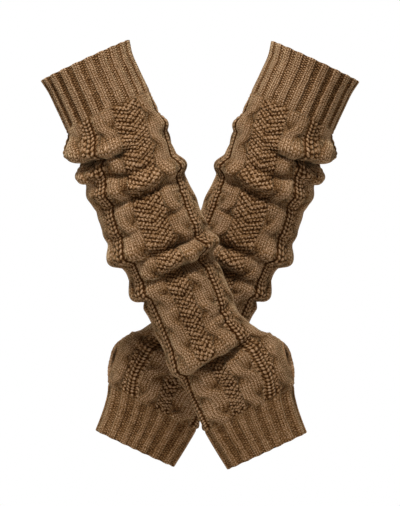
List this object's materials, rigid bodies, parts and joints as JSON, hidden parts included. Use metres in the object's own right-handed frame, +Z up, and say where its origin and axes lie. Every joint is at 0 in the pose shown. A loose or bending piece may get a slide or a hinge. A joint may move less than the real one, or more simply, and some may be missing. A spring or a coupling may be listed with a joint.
{
  "type": "pair of knitted arm warmers",
  "caption": "Pair of long fingerless arm warmers in brown cable knit with ribbed cuffs and thumb openings, slouched and crossed as worn on two straight arms.",
  "frame": {"origin": "midway between the two arm warmers, where the worn forearms cross", "axes": "+Z up, the upper cuffs at the top; +X to the right seen from the front; +Y away from the viewer, from the front arm warmer to the back one"},
  "size_m": [0.2926, 0.1405, 0.3922],
  "materials": {
    "brown_yarn": "matt knitted acrylic and wool yarn, cable, moss and rib stitches"
  },
  "bodies": {
    "root": {"front_upper_cuff": "brown_yarn", "front_upper_forearm": "brown_yarn", "front_lower_forearm": "brown_yarn", "front_wrist": "brown_yarn", "front_hand": "brown_yarn", "front_knuckle_cuff": "brown_yarn", "back_upper_cuff": "brown_yarn", "back_upper_forearm": "brown_yarn", "back_lower_forearm": "brown_yarn", "back_wrist": "brown_yarn", "back_hand": "brown_yarn", "back_knuckle_cuff": "brown_yarn"}
  },
  "joints": []
}
